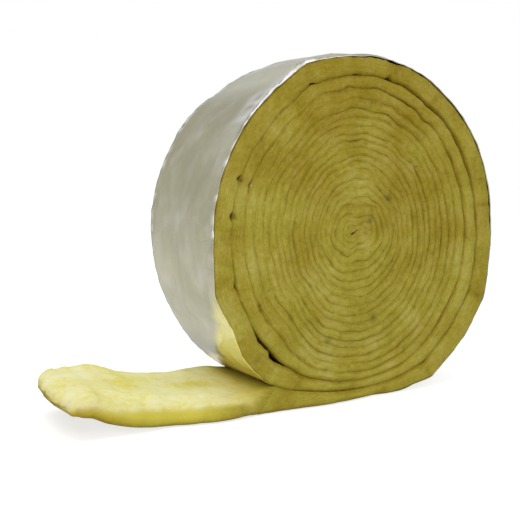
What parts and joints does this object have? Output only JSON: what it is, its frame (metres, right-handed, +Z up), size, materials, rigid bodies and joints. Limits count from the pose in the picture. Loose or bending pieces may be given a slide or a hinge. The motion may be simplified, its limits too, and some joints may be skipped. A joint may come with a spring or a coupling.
{
  "type": "insulation roll",
  "caption": "Foil-faced glass wool blanket wound into a roll, standing on its rim with its loose end laid out flat and curling up at the tip.",
  "frame": {"origin": "on the floor under the roll's axis, at the middle of the blanket's width", "axes": "+X level, away from the loose end; +Y level along the roll's axis; +Z up"},
  "size_m": [0.565, 0.152, 0.399],
  "materials": {
    "glass_wool": "fibrous, matt",
    "foil": "creased satin foil"
  },
  "bodies": {
    "root": {"wool_blanket": "glass_wool", "foil_facing": "foil"}
  },
  "joints": []
}
